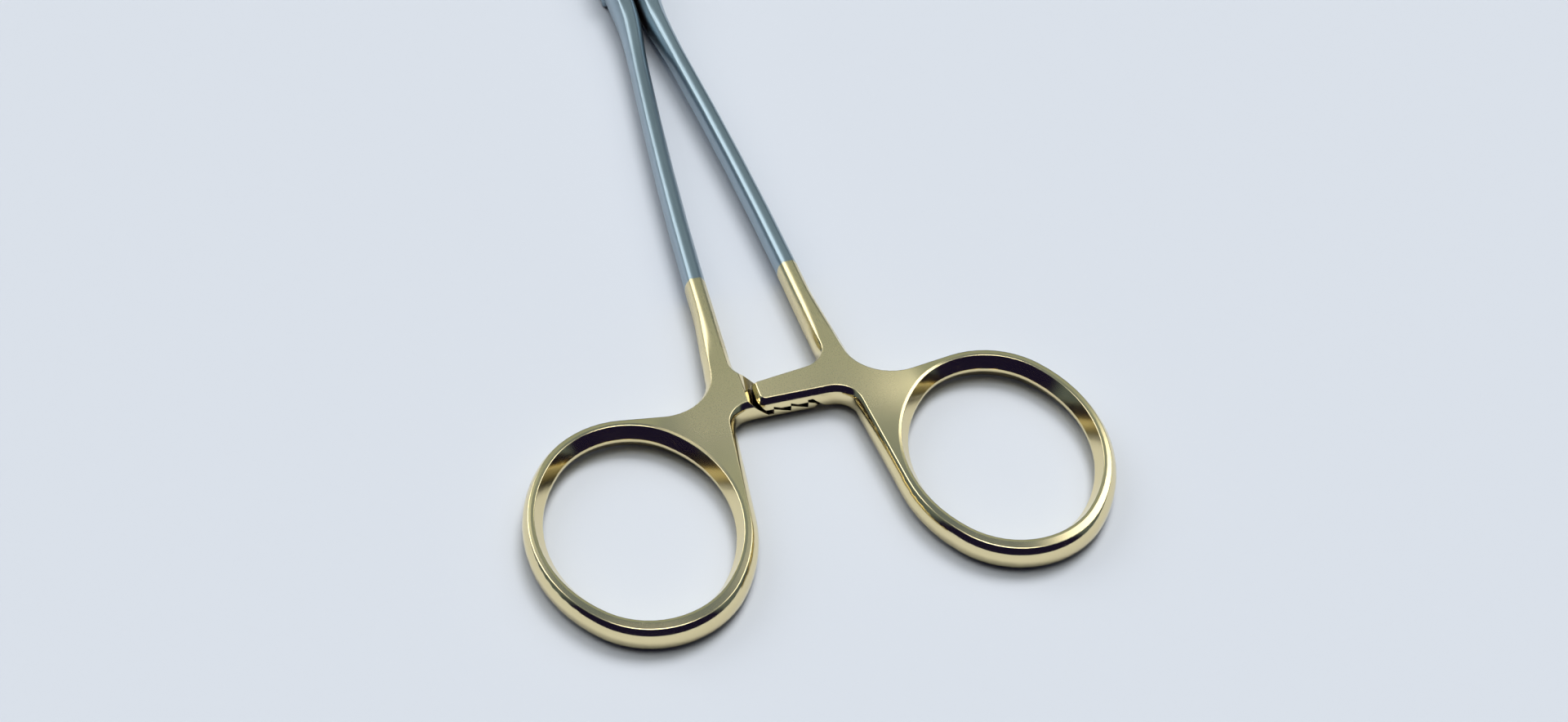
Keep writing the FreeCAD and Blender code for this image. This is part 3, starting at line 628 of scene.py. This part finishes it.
# %% Sintered carbide
carbide = bpy.data.materials.new("gripping_carbide")
carbide.use_nodes = True
tree = carbide.node_tree
metal = tree.nodes["Principled BSDF"]
metal.inputs["Metallic"].default_value = 1.0
fine = place_group(tree, satin_grain, {"Grains per metre": 16000.0})
edges = place_group(tree, worn_edges, {"Round": mm(0.06), "Wear": mm(0.05)})
colour = blend_colours(tree, fine.outputs["Cloud"], (0.20, 0.21, 0.23), (0.29, 0.30, 0.32))
colour = blend_colours(tree, edges.outputs["Mask"], colour, (0.45, 0.47, 0.49))
join(tree, colour, metal.inputs["Base Color"])
rough = maths(tree, "MULTIPLY_ADD", fine.outputs["Height"], 0.16, 0.40)
join(tree, rough, metal.inputs["Roughness"])
bump = add_node(tree, "ShaderNodeBump", {"Strength": 0.4, "Distance": mm(0.01)})
join(tree, fine.outputs["Height"], bump.inputs["Height"])
join(tree, edges.outputs["Normal"], bump.inputs["Normal"])
join(tree, bump.outputs[0], metal.inputs["Normal"])
print("material", carbide.name, len(tree.nodes), "nodes")

# %% [markdown]
# The pads grip the needle with a cross-cut: two sets of fine grooves at right angles, 45 degrees to the
# jaw, which leave rows of small blunt pyramids. First the pads are thinned by the depth of the cut. A
# Geometry Nodes tree then lays a grid of points over the tapered face, keeps every other one like
# the dark squares of a chessboard, and stands a four-sided cone on each.

# %% Thinner pads
CUT_DEPTH = mm(0.12)
PAD_FACE = mm(0.03)
PAD_BACK = mm(1.0)
FACE_FROM = mm(68.9)
FACE_TO = mm(88.2)
TOOTH_REACH = mm(0.24)


def set_back(pad):
    """Thins the pad so that its gripping face lies back by the depth of the cut."""
    for vertex in pad.data.vertices:
        share = (PAD_BACK - abs(vertex.co.x)) / (PAD_BACK - PAD_FACE)
        vertex.co.x = math.copysign(abs(vertex.co.x) + share * CUT_DEPTH, vertex.co.x)


set_back(left_pad)
set_back(right_pad)
print("pads thinned by", round(1000 * CUT_DEPTH, 2), "mm")

# %% [markdown]
# The tree's inputs are the sizes of one face and of one tooth.

# %% The cross-cut's inputs
cross_cut = bpy.data.node_groups.new("cross_cut", "GeometryNodeTree")
for title, kind in (
    ("Length", FLOAT),
    ("Root half height", FLOAT),
    ("Tip half height", FLOAT),
    ("Tooth reach", FLOAT),
    ("Tooth height", FLOAT),
    ("Material", "NodeSocketMaterial"),
):
    cross_cut.interface.new_socket(title, in_out="INPUT", socket_type=kind)
cross_cut.interface.new_socket("Geometry", in_out="OUTPUT", socket_type="NodeSocketGeometry")
start = cross_cut.nodes.new("NodeGroupInput")
end = cross_cut.nodes.new("NodeGroupOutput")
length = start.outputs["Length"]
reach = start.outputs["Tooth reach"]
root = start.outputs["Root half height"]
tip = start.outputs["Tip half height"]


def steps_over(span):
    """How many whole tooth reaches fit in that span."""
    return maths(cross_cut, "FLOOR", maths(cross_cut, "DIVIDE", span, reach))


def counted_from(edge, place):
    """The number of the row or column that a point stands in."""
    from_edge = maths(cross_cut, "ADD", place, edge)
    return maths(cross_cut, "ROUND", maths(cross_cut, "DIVIDE", from_edge, reach))


# %% [markdown]
# The grid has one point for each crossing of two grooves' middles, so its step is one tooth reach.

# %% The cross-cut's grid
columns = steps_over(length)
rows = steps_over(maths(cross_cut, "MULTIPLY", root, 2.0))
wide = maths(cross_cut, "MULTIPLY", columns, reach)
high = maths(cross_cut, "MULTIPLY", rows, reach)
grid = cross_cut.nodes.new("GeometryNodeMeshGrid")
join(cross_cut, wide, grid.inputs["Size X"])
join(cross_cut, high, grid.inputs["Size Y"])
join(cross_cut, maths(cross_cut, "ADD", columns, 1.0), grid.inputs["Vertices X"])
join(cross_cut, maths(cross_cut, "ADD", rows, 1.0), grid.inputs["Vertices Y"])

# %% [markdown]
# A point is kept where its row and column add up to an even number and where the tooth still lies
# within the face, which gets lower towards the tip.

# %% Which points keep a tooth
position = cross_cut.nodes.new("GeometryNodeInputPosition")
spot = add_node(cross_cut, "ShaderNodeSeparateXYZ")
join(cross_cut, position.outputs[0], spot.inputs[0])
half_wide = maths(cross_cut, "MULTIPLY", wide, 0.5)
half_high = maths(cross_cut, "MULTIPLY", high, 0.5)
both = maths(
    cross_cut,
    "ADD",
    counted_from(half_wide, spot.outputs["X"]),
    counted_from(half_high, spot.outputs["Y"]),
)
chessboard = maths(cross_cut, "LESS_THAN", maths(cross_cut, "MODULO", both, 2.0), 0.5)
share = maths(cross_cut, "DIVIDE", maths(cross_cut, "ADD", spot.outputs["X"], half_wide), wide)
room = maths(cross_cut, "MULTIPLY_ADD", maths(cross_cut, "SUBTRACT", tip, root), share, root)
room = maths(cross_cut, "SUBTRACT", room, reach)
inside = maths(cross_cut, "LESS_THAN", maths(cross_cut, "ABSOLUTE", spot.outputs["Y"]), room)
kept = maths(cross_cut, "MULTIPLY", chessboard, inside)

# %% [markdown]
# One blunt cone stands on every kept point. Realize Instances turns them into real faces, and Set
# Material dresses them.

# %% The teeth of the cross-cut
BLUNTNESS = 0.2
tooth = add_node(cross_cut, "GeometryNodeMeshCone", {"Vertices": 4})
join(cross_cut, maths(cross_cut, "MULTIPLY", reach, BLUNTNESS), tooth.inputs["Radius Top"])
join(cross_cut, reach, tooth.inputs["Radius Bottom"])
join(cross_cut, start.outputs["Tooth height"], tooth.inputs["Depth"])
stand = cross_cut.nodes.new("GeometryNodeInstanceOnPoints")
join(cross_cut, grid.outputs["Mesh"], stand.inputs["Points"])
join(cross_cut, kept, stand.inputs["Selection"])
join(cross_cut, tooth.outputs["Mesh"], stand.inputs["Instance"])
real = cross_cut.nodes.new("GeometryNodeRealizeInstances")
join(cross_cut, stand.outputs[0], real.inputs[0])
dressed = cross_cut.nodes.new("GeometryNodeSetMaterial")
join(cross_cut, real.outputs[0], dressed.inputs["Geometry"])
join(cross_cut, start.outputs["Material"], dressed.inputs["Material"])
join(cross_cut, dressed.outputs[0], end.inputs["Geometry"])
print("tree", cross_cut.name, len(cross_cut.nodes), "nodes")

# %% [markdown]
# The tree works on a flat board. Its result becomes a plain mesh, which is then stood up on the pad:
# the board's length runs along the jaw and its teeth point at the middle plane.

# %% Teeth of both pads
TOOTH_BASE = PAD_FACE + CUT_DEPTH + mm(0.005)
FACE_SIZES = {
    "Length": FACE_TO - FACE_FROM,
    "Root half height": mm(2.82),
    "Tip half height": mm(1.60),
    "Tooth reach": TOOTH_REACH,
    "Tooth height": CUT_DEPTH,
    "Material": carbide,
}


def pad_teeth(name, side):
    """The cross-cut of one pad as a plain mesh. side is -1 for the left pad and 1 for the right."""
    piece = bpy.data.objects.new(name, bpy.data.meshes.new(name + "_start"))
    bpy.context.scene.collection.objects.link(piece)
    maker = piece.modifiers.new("cross_cut", "NODES")
    maker.node_group = cross_cut
    for item in cross_cut.interface.items_tree:
        if item.in_out == "INPUT":
            maker[item.identifier] = FACE_SIZES[item.name]
    graph = bpy.context.evaluated_depsgraph_get()
    mesh = bpy.data.meshes.new_from_object(piece.evaluated_get(graph))
    piece.modifiers.remove(maker)
    mesh.name = name
    stand_up = Matrix(((0, 0, -side), (1, 0, 0), (0, -side, 0))).to_4x4()
    face = Vector((side * TOOTH_BASE, (FACE_FROM + FACE_TO) / 2, MIDDLE_HEIGHT))
    mesh.transform(Matrix.Translation(face) @ stand_up)
    piece.data = mesh
    print(name, len(mesh.polygons), "faces")
    return piece


left_teeth = pad_teeth("left_pad_teeth", -1)
right_teeth = pad_teeth("right_pad_teeth", 1)

# %% [markdown]
# Each smooth copy takes its finish, replaces its CAD node and rides on that node's body, so it turns
# with the joint.

# %% Put the pieces on the frame


def stand_for(piece, node, body, material):
    """The piece replaces the node and moves with its body."""
    piece.data.materials.clear()
    piece.data.materials.append(material)
    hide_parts(node)
    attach(piece, body)


stand_for(right_half, "female_half", "female_body", right_metal)
stand_for(left_half, "male_half", "male_body", left_metal)
stand_for(pin, "box_lock_pin", "female_body", pin_metal)
stand_for(left_pad, "female_jaw_insert", "female_body", carbide)
stand_for(right_pad, "male_jaw_insert", "male_body", carbide)
for piece, body in ((left_teeth, "female_body"), (right_teeth, "male_body")):
    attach(piece, body)

# %% [markdown]
# The instrument rests on the thick box lock and on the far ends of its rings, which lie 1.4 mm higher
# in the part's own frame. The table is therefore a large plane, tilted by about half a degree, that
# touches both. It is seen only from above, so an instrument held up to view shows from below too.

# %% The pale table
RING_END = Vector((0, mm(-87.5), mm(1.4)))
BOX_EDGE = Vector((0, mm(44.3), 0))
along = (BOX_EDGE - RING_END).normalized()
TABLE_REACH = 6.0
across = Vector((TABLE_REACH, 0, 0))
middle = RING_END - Vector((0, 0, mm(0.01)))
corners = [
    middle - across - along * TABLE_REACH,
    middle + across - along * TABLE_REACH,
    middle + across + along * TABLE_REACH,
    middle - across + along * TABLE_REACH,
]
table_mesh = bpy.data.meshes.new("table")
table_mesh.from_pydata(corners, [], [(0, 1, 2, 3)])
table = bpy.data.objects.new("table", table_mesh)
bpy.context.scene.collection.objects.link(table)

table_top = bpy.data.materials.new("pale_table")
table_top.use_nodes = True
tree = table_top.node_tree
surface = tree.nodes["Principled BSDF"]
surface.inputs["Base Color"].default_value = (0.70, 0.735, 0.80, 1)
surface.inputs["Roughness"].default_value = 0.9
surface.inputs["Specular IOR Level"].default_value = 0.0
seen_from = add_node(tree, "ShaderNodeNewGeometry")
clear = add_node(tree, "ShaderNodeBsdfTransparent")
either = add_node(tree, "ShaderNodeMixShader")
join(tree, seen_from.outputs["Backfacing"], either.inputs[0])
join(tree, surface.outputs[0], either.inputs[1])
join(tree, clear.outputs[0], either.inputs[2])
join(tree, either.outputs[0], tree.nodes["Material Output"].inputs[0])
table.data.materials.append(table_top)
print("table tilt", round(math.degrees(math.asin(along.z)), 3), "degrees")

# %% [markdown]
# The picture was taken in a bright room, by someone who leans over the table. Polished metal shows that
# room: the ceiling as thin bright lines on the rounded edges, two windows as the ridges of light on
# shanks and webs, and the person as a dark band. The world has the same layout and no picture in it:
# a ramp of colours by height, two round windows and a dark sector where the viewer stands.

# %% The room's colours
VIEW_AZIMUTH = math.radians(-17.0099)
VIEWER_COLOUR = (0.010, 0.008, 0.035)
SKY_STEPS = (
    (0.00, (0.09, 0.12, 0.15)),
    (0.32, (0.12, 0.16, 0.19)),
    (0.56, (0.32, 0.375, 0.36)),
    (0.74, (0.33, 0.385, 0.37)),
    (0.79, (0.17, 0.22, 0.28)),
    (0.90, (0.12, 0.16, 0.22)),
    (0.95, (0.55, 0.57, 0.58)),
    (0.98, (4.80, 4.85, 4.70)),
)
LEFT_WINDOW = Vector((-0.50, 0.62, 0.60)).normalized()
RIGHT_WINDOW = Vector((0.60, 0.30, 0.74)).normalized()
WINDOW_COLOUR = (2.6, 2.65, 2.65)
BACKDROP = (0.73, 0.78, 0.86)
print("room of", len(SKY_STEPS), "heights and 2 windows")

# %% [markdown]
# The camera itself sees a plain backdrop. Rays that leave a matt surface get less of the room, because
# the lamp below lights the table too.

# %% The room as a world
room = bpy.data.worlds.new("bright_room")
room.use_nodes = True
bpy.context.scene.world = room
tree = room.node_tree
light = tree.nodes["Background"]
place = add_node(tree, "ShaderNodeTexCoord")
direction = add_node(tree, "ShaderNodeSeparateXYZ")
join(tree, place.outputs["Generated"], direction.inputs[0])
sky = tree.nodes.new("ShaderNodeValToRGB")
join(tree, direction.outputs["Z"], sky.inputs[0])
while len(sky.color_ramp.elements) < len(SKY_STEPS):
    sky.color_ramp.elements.new(0.5)
for step, (height, colour) in zip(sky.color_ramp.elements, SKY_STEPS):
    step.position = height
    step.color = (*colour, 1)
towards_viewer = add_node(tree, "ShaderNodeVectorMath", operation="DOT_PRODUCT")
towards_viewer.inputs[1].default_value = (math.sin(VIEW_AZIMUTH), -math.cos(VIEW_AZIMUTH), -0.1)
join(tree, place.outputs["Generated"], towards_viewer.inputs[0])
viewer = soft_step(tree, towards_viewer.outputs["Value"], 0.16, 0.40)
lit = sky.outputs[0]
for window_place, rim, full in ((LEFT_WINDOW, 0.885, 0.97), (RIGHT_WINDOW, 0.93, 0.985)):
    towards_window = add_node(tree, "ShaderNodeVectorMath", operation="DOT_PRODUCT")
    towards_window.inputs[1].default_value = window_place
    join(tree, place.outputs["Generated"], towards_window.inputs[0])
    in_window = soft_step(tree, towards_window.outputs["Value"], rim, full)
    lit = blend_colours(tree, in_window, lit, WINDOW_COLOUR)
seen = blend_colours(tree, viewer, lit, VIEWER_COLOUR)
camera_ray = add_node(tree, "ShaderNodeLightPath")
seen = blend_colours(tree, camera_ray.outputs["Is Camera Ray"], seen, BACKDROP)
join(tree, seen, light.inputs[0])
strength = maths(tree, "MULTIPLY_ADD", camera_ray.outputs["Is Diffuse Ray"], -0.40, 1.0)
join(tree, strength, light.inputs["Strength"])
print("world", room.name)

# %% [markdown]
# One large soft light comes from the upper right and throws the soft shadow to the left. A sun with a
# wide angle is the simplest lamp for it, since its shadow is equally soft everywhere. The metal doesn't
# mirror it, because the room already has its windows.

# %% The window light
window = bpy.data.lights.new("window_light", "SUN")
window.energy = 1.50
window.angle = math.radians(26)
window_lamp = bpy.data.objects.new("window_light", window)
bpy.context.scene.collection.objects.link(window_lamp)
window_lamp.visible_glossy = False
WINDOW_FROM = Vector((0.38, 0.45, 1.05))
window_lamp.rotation_euler = WINDOW_FROM.to_track_quat("Z", "Y").to_euler()
print("window light", window.energy, "W per square metre")

# %% [markdown]
# The camera stands where the photographer's did. Its place was worked out from the two finger rings,
# whose size is known: 17 degrees to the left of the instrument's axis, 46 degrees up, and turned by one
# and a half degrees about its own line of sight.

# %% The camera
VIEW_ELEVATION = math.radians(46.3894)
VIEW_ROLL = math.radians(1.45935)
VIEW_DISTANCE = mm(313.157)
LOOK_AT = Vector((mm(2.0805), mm(-44.1419), mm(1.4)))
back = Vector(
    (
        math.sin(VIEW_AZIMUTH) * math.cos(VIEW_ELEVATION),
        -math.cos(VIEW_AZIMUTH) * math.cos(VIEW_ELEVATION),
        math.sin(VIEW_ELEVATION),
    )
)
lens = bpy.data.cameras.new("camera")
lens.lens = 49.827
lens.sensor_width = 36
lens.clip_start = 0.01
camera = bpy.data.objects.new("camera", lens)
bpy.context.scene.collection.objects.link(camera)
aim = (-back).to_track_quat("-Z", "Y").to_matrix() @ Matrix.Rotation(VIEW_ROLL, 3, "Z")
camera.matrix_world = Matrix.Translation(LOOK_AT + back * VIEW_DISTANCE) @ aim.to_4x4()
bpy.context.scene.camera = camera
bpy.context.scene.view_settings.view_transform = "Standard"
print("camera at", [round(1000 * v, 1) for v in camera.location], "mm")
